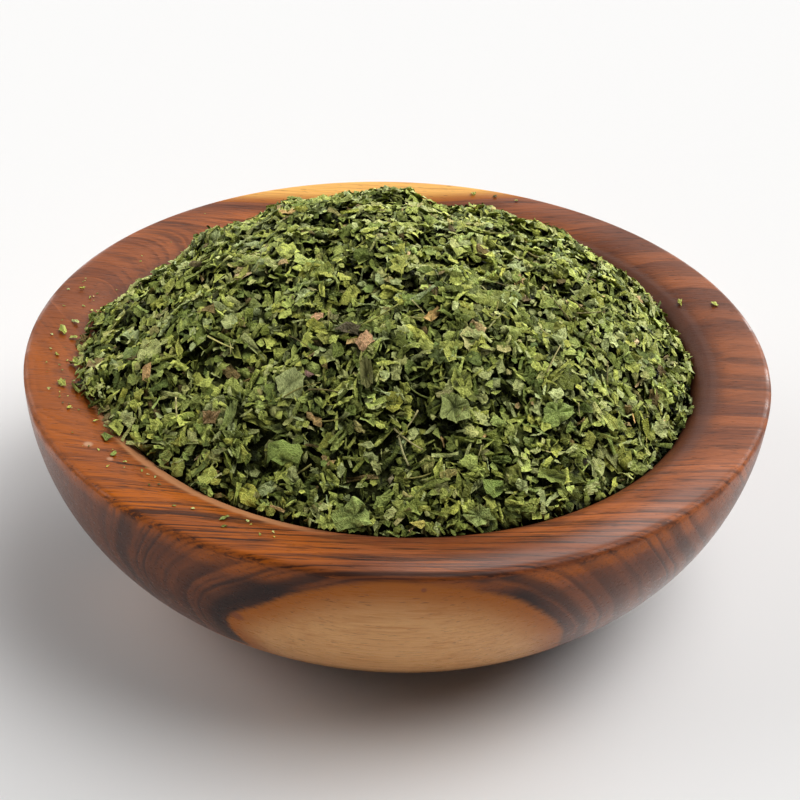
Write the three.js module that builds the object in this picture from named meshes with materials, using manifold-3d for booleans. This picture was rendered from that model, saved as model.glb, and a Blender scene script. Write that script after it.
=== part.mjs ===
// A turned wooden bowl with a thick crowned rim, filled with a heap of dried, cut parsley leaf.
// Units are millimetres and +Z is up. The origin is the centre of the bowl's foot, where it rests.
import * as THREE from "three";
import { mergeVertices } from "three/addons/utils/BufferGeometryUtils.js";
import Module from "manifold-3d";

const wasm = await Module();
wasm.setup();

// Driving dimensions of the bowl. Heights with "drop" in the name are measured down from the rim's crest.
const bowl = {
  height: 54,
  wallArcRadius: 57, // the outer wall is one arc in section
  wallArcCentre: 34, // radius at which that arc is centred
  wallArcRise: 0.5, // how far the arc's centre stands above the crest
  edgeRound: 1.6, // rounding of the rim's outer edge
  lipRadius: 75.5, // where the crowned top ends and the inner rounding starts
  lipDrop: 1.5,
  lipRoundWidth: 4,
  lipRoundDepth: 5,
  cavityDrop: 41, // depth of the cavity's floor
  cavityFullness: 2.6, // superellipse exponent of the cavity's section
  footRecessRadius: 41,
  footRecessDepth: 1.2,
  footRecessSlope: 1.5, // width of the recess's sloping side
  wallSteps: 8,
  segments: 84,
};

// Driving dimensions of the heap of flakes. Angles are in radians, counterclockwise from +X, seen from above.
const heap = {
  edgeRadius: 72.3, // where the flakes meet the wood on the right, just inside the lip
  spills: [
    { angle: 3.2, width: 0.45, reach: 7 }, // over the lip and onto the rim, on the left
    { angle: 4.5, width: 0.75, reach: 2.2 }, // onto the lip, at the front
    { angle: 1.6, width: 0.9, reach: 1.6 },
  ],
  topRise: 31, // above the rim's crest
  fullness: 2.5, // how quickly the mound rounds over
  swells: [
    { x: -48, y: 36, width: 15, rise: 3 },
    { x: -2, y: 2, width: 9, rise: 0.8 },
    { x: 13, y: 14, width: 15, rise: -2.2 },
    { x: -22, y: -60, width: 10, rise: -1.6 },
    { x: 31, y: -58, width: 11, rise: -1.6 },
  ],
  coreDepth: 3.6, // how far the plain core lies under the heap's mean surface
  coreEdgeDepth: 1.1,
  coreRoughness: 0.8,
  rings: 5,
  sides: 28,
};

// The shape that trims the heap to the wood.
const mould = {
  gap: 0.35, // clear space between the heap and the wood
  extra: 5, // how far the mould goes on past the surfaces that trim
  segments: 42,
};

// The source's flakes are larger than life, because each stands for many.
const flake = {
  count: 205,
  shortest: 11.5,
  longest: 17.5,
  narrowness: 0.78,
  thickness: 0.8,
  rootShare: 0.6, // width of the broken edge
  tips: 5,
  leastRise: 2.6, // how far a flake's tip stands over its low end
  mostRise: 8.6,
  rootDepth: 1.3, // how deep a flake's low end is sunk in the core
  crowding: 0.46, // under 0.5 sets them closer together towards the heap's steep edge
  tries: 24,
  edgeMargin: 2.5,
  overhang: 1.5, // how far a tip may stand out past the heap's edge
};

const crestHeight = bowl.height;
const goldenAngle = Math.PI * (3 - Math.sqrt(5));

// A small seeded generator, so that every build is the same.
function seededRandom(seed) {
  let state = seed >>> 0;
  return () => {
    state = (state + 0x6d2b79f5) >>> 0;
    let mixed = Math.imul(state ^ (state >>> 15), 1 | state);
    mixed = (mixed + Math.imul(mixed ^ (mixed >>> 7), 61 | mixed)) ^ mixed;
    return ((mixed ^ (mixed >>> 14)) >>> 0) / 4294967296;
  };
}

// Conversions between three.js geometry and manifold solids.
function solidFrom(geometry) {
  const bare = geometry.index ? geometry.toNonIndexed() : geometry.clone();
  bare.deleteAttribute("normal");
  bare.deleteAttribute("uv");
  const merged = mergeVertices(bare, 1e-3);
  return new wasm.Manifold(
    new wasm.Mesh({
      numProp: 3,
      vertProperties: merged.attributes.position.array,
      triVerts: new Uint32Array(merged.index.array),
    }),
  );
}

function geometryFrom(solid) {
  const mesh = solid.getMesh();
  const stride = mesh.numProp;
  const positions = new Float32Array(mesh.numVert * 3);
  for (let i = 0; i < mesh.numVert; i++)
    positions.set(mesh.vertProperties.subarray(i * stride, i * stride + 3), i * 3);
  const geometry = new THREE.BufferGeometry();
  geometry.setAttribute("position", new THREE.BufferAttribute(positions, 3));
  geometry.setIndex(new THREE.BufferAttribute(new Uint32Array(mesh.triVerts), 1));
  geometry.computeVertexNormals();
  return geometry;
}

function largestBody(solid) {
  const bodies = solid.decompose();
  return bodies.reduce((best, body) => (body.volume() > best.volume() ? body : best));
}

// The wood's section from the rim's crest, over the inner lip and down to the middle of the cavity's floor.
// Each point is (radius, height). The offset moves it off the wood, into the air.
function innerSection(offset) {
  const [crownSteps, lipSteps, cavitySteps] = [2, 3, 4];
  const points = [];
  const crownStart = outerWallRadius(0) - bowl.edgeRound;
  for (let i = 0; i < crownSteps; i++) {
    const t = i / crownSteps;
    const radius = crownStart + (bowl.lipRadius - crownStart) * t;
    points.push([radius, crestHeight - bowl.lipDrop * t * t + offset]);
  }
  for (let i = 0; i <= lipSteps; i++) {
    const turn = (Math.PI / 2) * (i / lipSteps);
    const width = bowl.lipRoundWidth + offset;
    const depth = bowl.lipRoundDepth + offset;
    const centreHeight = crestHeight - bowl.lipDrop - bowl.lipRoundDepth;
    points.push([bowl.lipRadius - width * Math.sin(turn), centreHeight + depth * Math.cos(turn)]);
  }
  const mouth = bowl.lipRadius - bowl.lipRoundWidth - offset;
  const mouthDrop = bowl.lipDrop + bowl.lipRoundDepth;
  const depth = bowl.cavityDrop - mouthDrop - offset;
  for (let i = 1; i <= cavitySteps; i++) {
    const turn = (Math.PI / 2) * (i / cavitySteps);
    const power = 2 / bowl.cavityFullness;
    const radius = i === cavitySteps ? 0 : mouth * Math.cos(turn) ** power;
    points.push([radius, crestHeight - mouthDrop - depth * Math.sin(turn) ** power]);
  }
  return points;
}

// Radius of the outer wall at a given drop below the rim's crest.
function outerWallRadius(drop) {
  const below = drop + bowl.wallArcRise;
  return bowl.wallArcCentre + Math.sqrt(bowl.wallArcRadius ** 2 - below ** 2);
}

function lathe(points, segments) {
  const profile = points.map(([radius, height]) => new THREE.Vector2(radius, height));
  return new THREE.LatheGeometry(profile, segments).rotateX(Math.PI / 2);
}

// The bowl's whole section, from the middle of the foot round the outside, over the rim, into the cavity.
function bowlGeometry() {
  const points = [
    [0, bowl.footRecessDepth],
    [bowl.footRecessRadius - bowl.footRecessSlope, bowl.footRecessDepth],
    [bowl.footRecessRadius, 0],
    [outerWallRadius(bowl.height), 0],
  ];
  const footTurn = Math.asin((bowl.height + bowl.wallArcRise) / bowl.wallArcRadius);
  const edgeTurn = Math.asin((bowl.edgeRound + bowl.wallArcRise) / bowl.wallArcRadius);
  for (let i = 1; i <= bowl.wallSteps; i++) {
    const turn = THREE.MathUtils.lerp(footTurn, edgeTurn, i / bowl.wallSteps);
    points.push([
      bowl.wallArcCentre + bowl.wallArcRadius * Math.cos(turn),
      crestHeight + bowl.wallArcRise - bowl.wallArcRadius * Math.sin(turn),
    ]);
  }
  const edgeMiddle = bowl.edgeRound * (1 - Math.SQRT1_2);
  points.push([outerWallRadius(0) - edgeMiddle, crestHeight - edgeMiddle]);
  points.push(...innerSection(0));
  return lathe(points, bowl.segments);
}

// Height of the wood's upper side, over the crowned rim and down the rounded lip.
function woodHeight(radius) {
  const crownStart = outerWallRadius(0) - bowl.edgeRound;
  const share = (crownStart - Math.max(radius, bowl.lipRadius)) / (crownStart - bowl.lipRadius);
  const crown = crestHeight - bowl.lipDrop * share * share;
  const inLip = THREE.MathUtils.clamp((bowl.lipRadius - radius) / bowl.lipRoundWidth, 0, 1);
  return crown - bowl.lipRoundDepth * (1 - Math.sqrt(1 - inLip * inLip));
}

// The heap's edge lies on the wood, further out where flakes spilled over the lip.
function heapEdge(angle) {
  let radius = heap.edgeRadius;
  for (const spill of heap.spills) {
    const turn = angle - spill.angle;
    const away = Math.atan2(Math.sin(turn), Math.cos(turn)) / spill.width;
    radius += spill.reach * Math.exp(-away * away);
  }
  return { radius, height: woodHeight(radius) };
}

// Mean height of the flakes' surface: a mound with a few low swells and hollows, which fade out at its edge.
function heapHeight(x, y) {
  const edge = heapEdge(Math.atan2(y, x));
  const share = Math.min(1, Math.hypot(x, y) / edge.radius);
  const rise = crestHeight + heap.topRise - edge.height;
  let height = edge.height + rise * (1 - share ** heap.fullness);
  for (const swell of heap.swells) {
    const away = Math.hypot(x - swell.x, y - swell.y) / swell.width;
    height += swell.rise * Math.exp(-away * away) * (1 - share ** 4);
  }
  return height;
}

function heapNormal(x, y) {
  const step = 1.5;
  const slopeX = (heapHeight(x + step, y) - heapHeight(x - step, y)) / (2 * step);
  const slopeY = (heapHeight(x, y + step) - heapHeight(x, y - step)) / (2 * step);
  return new THREE.Vector3(-slopeX, -slopeY, 1).normalize();
}

// The core lies deep in the middle and comes up to the flakes where the heap thins out at the wood.
function coreDepthAt(x, y) {
  const share = Math.min(1, Math.hypot(x, y) / heapEdge(Math.atan2(y, x)).radius);
  return THREE.MathUtils.lerp(heap.coreDepth, heap.coreEdgeDepth, share ** 8);
}

// A column under the heap's surface, from below the cavity's floor. The mould of the wood then trims it.
function heapColumn() {
  const random = seededRandom(77);
  const positions = [];
  const indices = [];
  const { rings, sides } = heap;
  const addPoint = (x, y, z) => positions.push(x, y, z) / 3 - 1;

  const top = addPoint(0, 0, heapHeight(0, 0) - heap.coreDepth);
  for (let ring = 1; ring <= rings; ring++)
    for (let side = 0; side < sides; side++) {
      const angle = (2 * Math.PI * side) / sides;
      const radius = heapEdge(angle).radius * (ring / rings);
      const [x, y] = [radius * Math.cos(angle), radius * Math.sin(angle)];
      const rough = ring < rings ? heap.coreRoughness * (2 * random() - 1) : 0;
      addPoint(x, y, heapHeight(x, y) - coreDepthAt(x, y) + rough);
    }
  const at = (ring, side) => 1 + (ring - 1) * sides + (side % sides);

  const bottomHeight = crestHeight - bowl.cavityDrop - mould.extra;
  const bottom = addPoint(0, 0, bottomHeight);
  for (let side = 0; side < sides; side++) {
    const above = at(rings, side) * 3;
    addPoint(positions[above], positions[above + 1], bottomHeight);
  }
  const low = (side) => bottom + 1 + (side % sides);

  for (let side = 0; side < sides; side++) {
    indices.push(top, at(1, side), at(1, side + 1));
    for (let ring = 1; ring < rings; ring++) {
      const [a, b] = [at(ring, side), at(ring, side + 1)];
      const [c, d] = [at(ring + 1, side), at(ring + 1, side + 1)];
      indices.push(a, c, d, a, d, b);
    }
    const [edgeA, edgeB] = [at(rings, side), at(rings, side + 1)];
    indices.push(edgeA, low(side), low(side + 1), edgeA, low(side + 1), edgeB);
    indices.push(bottom, low(side + 1), low(side));
  }
  const geometry = new THREE.BufferGeometry();
  geometry.setAttribute("position", new THREE.Float32BufferAttribute(positions, 3));
  geometry.setIndex(indices);
  return solidFrom(geometry);
}

// The wood's inner side and rim as a solid, grown by the gap, which trims the heap to sit in the bowl.
function woodMould() {
  const outside = bowl.wallArcCentre + bowl.wallArcRadius + mould.extra;
  const underside = crestHeight - bowl.cavityDrop - 2 * mould.extra;
  const points = [
    [0, underside],
    [outside, underside],
    [outside, crestHeight + mould.gap],
    ...innerSection(mould.gap),
  ];
  return solidFrom(lathe(points, mould.segments));
}

// The outline of a torn piece of leaf: a straight broken edge at its low end, notched tips round the rest.
function flakeShape(random, length, width) {
  const shape = new THREE.Shape();
  const rootHalf = (flake.rootShare * width) / 2;
  shape.moveTo(-rootHalf, -length / 2);
  shape.lineTo(rootHalf, -length / 2);
  for (let i = 0; i < flake.tips; i++) {
    const along = (i + 0.35 * (random() - 0.5)) / (flake.tips - 1);
    const angle = THREE.MathUtils.lerp(-0.35, Math.PI + 0.35, along);
    const notch = i % 2 ? 0.7 + 0.2 * random() : 0.94 + 0.18 * random();
    shape.lineTo((width / 2) * notch * Math.cos(angle), (length / 2) * notch * Math.sin(angle));
  }
  shape.closePath();
  return shape;
}

function flakePlate(random, length, thickness) {
  const shape = flakeShape(random, length, length * flake.narrowness);
  const geometry = new THREE.ExtrudeGeometry(shape, { depth: thickness, bevelEnabled: false });
  return geometry.translate(0, 0, -thickness / 2);
}

// Turns a plate's own Z to the heap's normal, then leans it by the tilt towards the given heading.
function leaningTurn(normal, heading, tilt, spin) {
  const up = new THREE.Vector3(0, 0, 1);
  const toNormal = new THREE.Quaternion().setFromUnitVectors(up, normal);
  const leanAxis = new THREE.Vector3(Math.cos(heading), Math.sin(heading), 0);
  const lean = new THREE.Quaternion().setFromAxisAngle(leanAxis, tilt);
  const turn = new THREE.Quaternion().setFromAxisAngle(up, spin + heading);
  return toNormal.multiply(lean).multiply(turn);
}

function heapGeometry() {
  const random = seededRandom(20417);
  const wood = woodMould();
  const core = largestBody(heapColumn().subtract(wood));
  const placed = [];
  for (let i = 0; i < flake.count; i++) {
    const angle = i * goldenAngle;
    const reach = heapEdge(angle).radius - flake.edgeMargin;
    const radius = reach * ((i + 0.5) / flake.count) ** flake.crowding;
    const [x, y] = [radius * Math.cos(angle), radius * Math.sin(angle)];
    const normal = heapNormal(x, y);
    const length = THREE.MathUtils.lerp(flake.shortest, flake.longest, random() ** 1.5);
    const plate = flakePlate(random, length, flake.thickness);
    let best = null;
    for (let attempt = 0; attempt < flake.tries; attempt++) {
      const rise = THREE.MathUtils.lerp(flake.leastRise, flake.mostRise, random());
      const heading = 2 * Math.PI * random();
      const spin = 0.5 * (random() - 0.5);
      const lift = rise / 2 - flake.rootDepth - coreDepthAt(x, y);
      const centre = new THREE.Vector3(x, y, heapHeight(x, y)).addScaledVector(normal, lift);
      const turn = leaningTurn(normal, heading, Math.asin(rise / length), spin);
      const matrix = new THREE.Matrix4().compose(centre, turn, new THREE.Vector3(1, 1, 1));
      const whole = solidFrom(plate.clone().applyMatrix4(matrix));
      const proud = whole.subtract(core);
      const tip = new THREE.Vector3(0, length / 2, 0).applyMatrix4(matrix);
      const tipReach = heapEdge(Math.atan2(tip.y, tip.x)).radius + flake.overhang;
      let fault = Math.max(0, Math.hypot(tip.x, tip.y) - tipReach);
      for (const other of placed)
        if (other.centre.distanceTo(centre) < flake.longest)
          fault += proud.intersect(other.proud).volume();
      if (!best || fault < best.fault) best = { whole, proud, centre, fault };
      if (fault === 0) break;
    }
    placed.push(best);
  }
  const fused = wasm.Manifold.union([core, ...placed.map((each) => each.whole)]);
  return geometryFrom(largestBody(fused.subtract(wood)));
}

// Loose flakes that lie on the rim: angle round it, radius, length, and heading of the flake's broken edge.
const looseFlakes = [
  { angle: 3.11, radius: 82.9, length: 4.6, heading: 0.3 },
  { angle: 3.24, radius: 83.1, length: 2.6, heading: 1.2 },
  { angle: 3.4, radius: 82.2, length: 3.9, heading: 0.6 },
  { angle: 2.86, radius: 84.3, length: 2.7, heading: 0.1 },
  { angle: 3.71, radius: 78.2, length: 3.9, heading: 2.7 },
  { angle: 3.8, radius: 80.4, length: 3.0, heading: 0.2 },
  { angle: 4.24, radius: 80.5, length: 2.6, heading: 1.9 },
  { angle: 0.34, radius: 85.4, length: 2.8, heading: 2.5 },
];
const loose = {
  thickness: 0.6,
  gap: 0.5, // clear space under a flake, where the wood curves up between its ends
};

function looseFlakeMesh(each, index, material) {
  const random = seededRandom(900 + index);
  const mesh = new THREE.Mesh(flakePlate(random, each.length, loose.thickness), material);
  const [innerSide, outerSide] = [each.radius - each.length / 2, each.radius + each.length / 2];
  const slope = Math.atan2(woodHeight(outerSide) - woodHeight(innerSide), each.length);
  const normal = new THREE.Vector3(
    -Math.sin(slope) * Math.cos(each.angle),
    -Math.sin(slope) * Math.sin(each.angle),
    Math.cos(slope),
  );
  mesh.name = `rim_flake_${index + 1}`;
  mesh.quaternion.copy(leaningTurn(normal, each.heading, 0, 0));
  mesh.position.set(
    each.radius * Math.cos(each.angle),
    each.radius * Math.sin(each.angle),
    woodHeight(each.radius) + loose.gap + loose.thickness / 2,
  );
  return mesh;
}

const woodFinish = new THREE.MeshStandardMaterial({ color: 0x7a3a1c, roughness: 0.42, metalness: 0 });
const leafFinish = new THREE.MeshStandardMaterial({ color: 0x66803c, roughness: 0.85, metalness: 0 });

const bowlMesh = new THREE.Mesh(bowlGeometry(), woodFinish);
bowlMesh.name = "bowl";
const heapMesh = new THREE.Mesh(heapGeometry(), leafFinish);
heapMesh.name = "parsley_heap";

const rimFlakes = new THREE.Group();
looseFlakes.forEach((each, index) => rimFlakes.add(looseFlakeMesh(each, index, leafFinish)));

const part = new THREE.Group();
part.add(bowlMesh, heapMesh, rimFlakes);
export default part;
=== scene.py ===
import math

import bpy
import numpy as np
from mathutils import Matrix, Vector


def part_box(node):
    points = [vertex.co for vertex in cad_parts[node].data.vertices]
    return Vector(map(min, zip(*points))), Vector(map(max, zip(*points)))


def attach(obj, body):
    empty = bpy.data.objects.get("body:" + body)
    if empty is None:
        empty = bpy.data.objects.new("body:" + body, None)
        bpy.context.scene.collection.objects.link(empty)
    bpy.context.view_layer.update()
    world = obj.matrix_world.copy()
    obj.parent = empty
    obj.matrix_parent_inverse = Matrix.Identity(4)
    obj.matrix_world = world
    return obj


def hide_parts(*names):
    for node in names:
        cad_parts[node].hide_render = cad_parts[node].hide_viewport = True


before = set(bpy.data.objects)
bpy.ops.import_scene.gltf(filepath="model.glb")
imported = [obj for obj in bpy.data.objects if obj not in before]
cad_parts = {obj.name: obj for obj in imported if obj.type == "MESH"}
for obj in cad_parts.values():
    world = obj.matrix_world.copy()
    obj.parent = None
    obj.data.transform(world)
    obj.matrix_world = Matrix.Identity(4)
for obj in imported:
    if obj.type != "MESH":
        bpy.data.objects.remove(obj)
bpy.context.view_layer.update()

# A turned wooden bowl heaped with dried, cut parsley. Sizes in the dictionaries are in millimetres,
# and the front, with its patch of sapwood, is towards -Y.
mm = 0.001
scene = bpy.context.scene


# Shader tools: arithmetic on a Wire adds Math nodes, and anything else comes from Finish.node

class Wire:
    def __init__(self, finish, socket):
        self.finish = finish
        self.socket = socket

    def __add__(self, other):
        return self.finish.maths("ADD", self, other)

    def __sub__(self, other):
        return self.finish.maths("SUBTRACT", self, other)

    def __rsub__(self, other):
        return self.finish.maths("SUBTRACT", other, self)

    def __mul__(self, other):
        return self.finish.maths("MULTIPLY", self, other)

    def __truediv__(self, other):
        return self.finish.maths("DIVIDE", self, other)

    def __pow__(self, other):
        return self.finish.maths("POWER", self, other)

    def __rpow__(self, other):
        return self.finish.maths("POWER", other, self)

    __radd__ = __add__
    __rmul__ = __mul__


class Finish:
    def __init__(self, name, owner=None):
        self.owner = owner or bpy.data.materials.new(name)
        self.owner.use_nodes = True
        self.tree = self.owner.node_tree
        self.tree.nodes.clear()

    def node(self, kind, settings, sockets, out=0):
        made = self.tree.nodes.new(kind)
        for name, value in settings.items():
            setattr(made, name, value)
        for key, value in sockets.items():
            socket = made.inputs[key]
            if isinstance(value, Wire):
                self.tree.links.new(value.socket, socket)
            elif isinstance(value, tuple) and len(value) == 3 and socket.type == "RGBA":
                socket.default_value = (*value, 1)
            else:
                socket.default_value = value
        return Wire(self, made.outputs[out]) if made.outputs else None

    def maths(self, operation, *values):
        return self.node("ShaderNodeMath", {"operation": operation}, dict(enumerate(values)))

    def mix(self, share, first, second, blend="MIX"):
        settings = {"data_type": "RGBA", "blend_type": blend}
        return self.node("ShaderNodeMix", settings, {0: share, 6: first, 7: second}, 2)

    def vector(self, operation, first, second, out=0):
        return self.node("ShaderNodeVectorMath", {"operation": operation}, {0: first, 1: second}, out)

    def noise(self, place, scale, detail=2.0, roughness=0.5, dimensions="3D"):
        sockets = {"Scale": scale, "Detail": detail, "Roughness": roughness}
        sockets["W" if dimensions == "1D" else "Vector"] = place
        return self.node("ShaderNodeTexNoise", {"noise_dimensions": dimensions}, sockets)

    def step(self, value, low, high, start=0.0, end=1.0):
        sockets = {0: value, 1: low, 2: high, 3: start, 4: end}
        return self.node("ShaderNodeMapRange", {"interpolation_type": "SMOOTHSTEP"}, sockets)

    # nothing at first, then rising to full, and fading to nothing again
    def pulse(self, value, start, full, fade, end):
        return self.step(value, start, full) * self.step(value, fade, end, 1.0, 0.0)

    # soft round mark at a place in space
    def spot(self, place, centre, radius, core=0.35):
        away = self.vector("DISTANCE", place, centre, 1)
        return self.step(away, radius * core, radius, 1.0, 0.0)

    def surface(self, **sockets):
        named = {name.replace("_", " "): value for name, value in sockets.items()}
        shader = self.node("ShaderNodeBsdfPrincipled", {}, named)
        self.node("ShaderNodeOutputMaterial", {}, {"Surface": shader})
        return self.owner


# Camera, light and floor

shot = {
    "distance": 0.52,  # metres from the middle of the rim
    "elevation": 31.63,
    "roll": -2.27,
    "lens": 95.3,
    "sensor": 36,
    "rimAcross": -0.0015,  # where the rim's middle falls, in frame widths from the picture's middle
    "rimUp": 0.0629,
}
light = {
    "panels": [  # (azimuth, elevation, half width in degrees, strength): soft white panels in the dark
        (60, 12, 18, 9.0), (60, 26, 18, 1.0), (30, 30, 20, 3.8), (0, 57, 25, 3.7), (0, 75, 20, 2.1),
        (45, 55, 24, 1.9), (80, 36, 14, 1.7), (92, 18, 18, 0.9), (120, 12, 24, 2.9), (150, 30, 22, 1.5),
        (180, 32, 24, 2.2), (240, 12, 20, 0.8),
    ],
    "air": 0.02,
    "airTint": (1.0, 0.993, 0.985),
    "floorTone": 0.81,
    "floorSize": 6,
}


def setCamera(rimMiddle):
    tilt = math.radians(shot["elevation"])
    roll = math.radians(shot["roll"])
    sight = Vector((0, math.cos(tilt), -math.sin(tilt)))
    right = Vector((1, 0, 0))
    up = right.cross(sight)
    rolledRight = right * math.cos(roll) - up * math.sin(roll)
    rolledUp = right * math.sin(roll) + up * math.cos(roll)
    reach = shot["lens"] / shot["sensor"]
    # the camera turns a little, so that the rim's middle falls where it does in the photograph
    ahead = (sight * reach - rolledRight * shot["rimAcross"] - rolledUp * shot["rimUp"]).normalized()
    side = (rolledRight - ahead * rolledRight.dot(ahead)).normalized()
    top = side.cross(ahead)
    data = bpy.data.cameras.new("photoCamera")
    data.lens = shot["lens"]
    data.sensor_width = shot["sensor"]
    camera = bpy.data.objects.new("photoCamera", data)
    turn = Matrix((side, top, -ahead)).transposed().to_4x4()
    camera.matrix_world = Matrix.Translation(rimMiddle - sight * shot["distance"]) @ turn
    scene.collection.objects.link(camera)
    scene.camera = camera


def lightScene():
    sky = Finish("studioSky", bpy.data.worlds.new("studioSky"))
    towards = sky.node("ShaderNodeTexCoord", {}, {}, "Generated")
    strength = light["air"]
    for azimuth, elevation, half, power in light["panels"]:
        around = math.radians(azimuth)
        high = math.radians(elevation)
        middle = (math.cos(high) * math.cos(around), math.cos(high) * math.sin(around), math.sin(high))
        near = sky.vector("DOT_PRODUCT", towards, middle, 1)
        edge = math.cos(math.radians(half))
        strength = sky.step(near, edge, math.cos(math.radians(half * 0.4)), 0, power) + strength
    air = sky.node("ShaderNodeBackground", {}, {"Color": light["airTint"], "Strength": strength})
    sky.node("ShaderNodeOutputWorld", {}, {"Surface": air})
    scene.world = sky.owner
    scene.view_settings.view_transform = "Standard"


# A colour as a paint chart gives it, 0 to 255, turned to Blender's linear light
def tint(red, green, blue):
    parts = [c / 255 for c in (red, green, blue)]
    return tuple(c / 12.92 if c <= 0.04045 else ((c + 0.055) / 1.055) ** 2.4 for c in parts)


def addPiece(name, vertices, faces, material, smooth=False):
    mesh = bpy.data.meshes.new(name)
    mesh.from_pydata(vertices, [], faces)
    mesh.materials.append(material)
    mesh.polygons.foreach_set("use_smooth", [smooth] * len(mesh.polygons))
    mesh.update()
    piece = bpy.data.objects.new(name, mesh)
    scene.collection.objects.link(piece)
    return piece


def layFloor():
    finish = Finish("paleFloor")
    material = finish.surface(Base_Color=(light["floorTone"],) * 3, Roughness=0.9,
                              Specular_IOR_Level=0.0)
    half = light["floorSize"] / 2
    corners = [(-half, -half, 0), (half, -half, 0), (half, half, 0), (-half, half, 0)]
    addPiece("floor", corners, [(0, 1, 2, 3)], material)


# Bowl

bowl = {
    "wallArcRadius": 57,  # the outer wall is one arc in section
    "wallArcCentre": 34,
    "wallArcRise": 0.5,
    "edgeRound": 1.6,
    "lipRadius": 77.5,  # where the crowned rim ends and the inner rounding starts
    "lipDrop": 1.2,
    "lipRoundWidth": 6,
    "lipRoundDepth": 5.3,
    "cavityDrop": 41,
    "cavityFullness": 2.6,
    "footRecessRadius": 41,
    "footRecessDepth": 1.2,
    "footRecessSlope": 1.5,
    "segments": 360,
}
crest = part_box("bowl")[1].z / mm
mouthRadius = bowl["lipRadius"] - bowl["lipRoundWidth"]
mouthDrop = bowl["lipDrop"] + bowl["lipRoundDepth"]


def wallRadius(drop):
    below = drop + bowl["wallArcRise"]
    return bowl["wallArcCentre"] + math.sqrt(bowl["wallArcRadius"] ** 2 - below ** 2)


crownStart = wallRadius(0) - bowl["edgeRound"]


# Height of the wood's upper side at a radius: crowned rim, rounded lip, cavity
def woodTop(radius):
    radius = np.asarray(radius, float)
    share = (crownStart - np.maximum(radius, bowl["lipRadius"])) / (crownStart - bowl["lipRadius"])
    crown = crest - bowl["lipDrop"] * share ** 2
    inLip = np.clip((bowl["lipRadius"] - radius) / bowl["lipRoundWidth"], 0, 1)
    lip = crown - bowl["lipRoundDepth"] * (1 - np.sqrt(1 - inLip ** 2))
    power = bowl["cavityFullness"]
    hollow = (1 - np.clip(radius / mouthRadius, 0, 1) ** power) ** (1 / power)
    cavity = crest - mouthDrop - (bowl["cavityDrop"] - mouthDrop) * hollow
    return np.where(radius < mouthRadius, cavity, lip)


# Section from the middle of the foot, round the outside and over the rim, to the middle of the cavity
def bowlSection():
    recess = bowl["footRecessRadius"]
    points = [(0, bowl["footRecessDepth"])]
    for i in range(1, 7):
        points.append(((recess - bowl["footRecessSlope"]) * i / 6, bowl["footRecessDepth"]))
    points += [(recess, 0), ((recess + wallRadius(crest)) / 2, 0), (wallRadius(crest) - 0.6, 0)]
    footTurn = math.asin((crest - 0.5 + bowl["wallArcRise"]) / bowl["wallArcRadius"])
    edgeTurn = math.asin((bowl["edgeRound"] + bowl["wallArcRise"]) / bowl["wallArcRadius"])
    for turn in np.linspace(footTurn, edgeTurn, 44):
        points.append((bowl["wallArcCentre"] + bowl["wallArcRadius"] * math.cos(turn),
                       crest + bowl["wallArcRise"] - bowl["wallArcRadius"] * math.sin(turn)))
    for turn in np.linspace(0, math.pi / 2, 8)[1:]:
        points.append((crownStart + bowl["edgeRound"] * math.cos(turn),
                       crest - bowl["edgeRound"] * (1 - math.sin(turn))))
    for radius in np.linspace(crownStart, bowl["lipRadius"], 12)[1:]:
        points.append((radius, float(woodTop(radius))))
    for turn in np.linspace(0, math.pi / 2, 12)[1:]:
        points.append((bowl["lipRadius"] - bowl["lipRoundWidth"] * math.sin(turn),
                       crest - mouthDrop + bowl["lipRoundDepth"] * math.cos(turn)))
    power = 2 / bowl["cavityFullness"]
    for turn in np.linspace(0, math.pi / 2, 26)[1:]:
        drop = mouthDrop + (bowl["cavityDrop"] - mouthDrop) * math.sin(turn) ** power
        points.append((mouthRadius * max(math.cos(turn), 0) ** power, crest - drop))
    points[-1] = (0, points[-1][1])
    return points


def lathe(section, segments):
    turns = np.arange(segments) * 2 * math.pi / segments
    vertices = [(0, 0, section[0][1] * mm)]
    for radius, height in section[1:-1]:
        for turn in turns:
            vertices.append((radius * math.cos(turn) * mm, radius * math.sin(turn) * mm, height * mm))
    vertices.append((0, 0, section[-1][1] * mm))
    last = len(vertices) - 1
    faces = []
    for i in range(segments):
        after = (i + 1) % segments
        faces.append((0, 1 + after, 1 + i))
        for ring in range(len(section) - 3):
            low = 1 + ring * segments
            high = low + segments
            faces.append((low + i, low + after, high + after, high + i))
        faces.append((last, last - segments + i, last - segments + after))
    return vertices, faces


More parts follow.
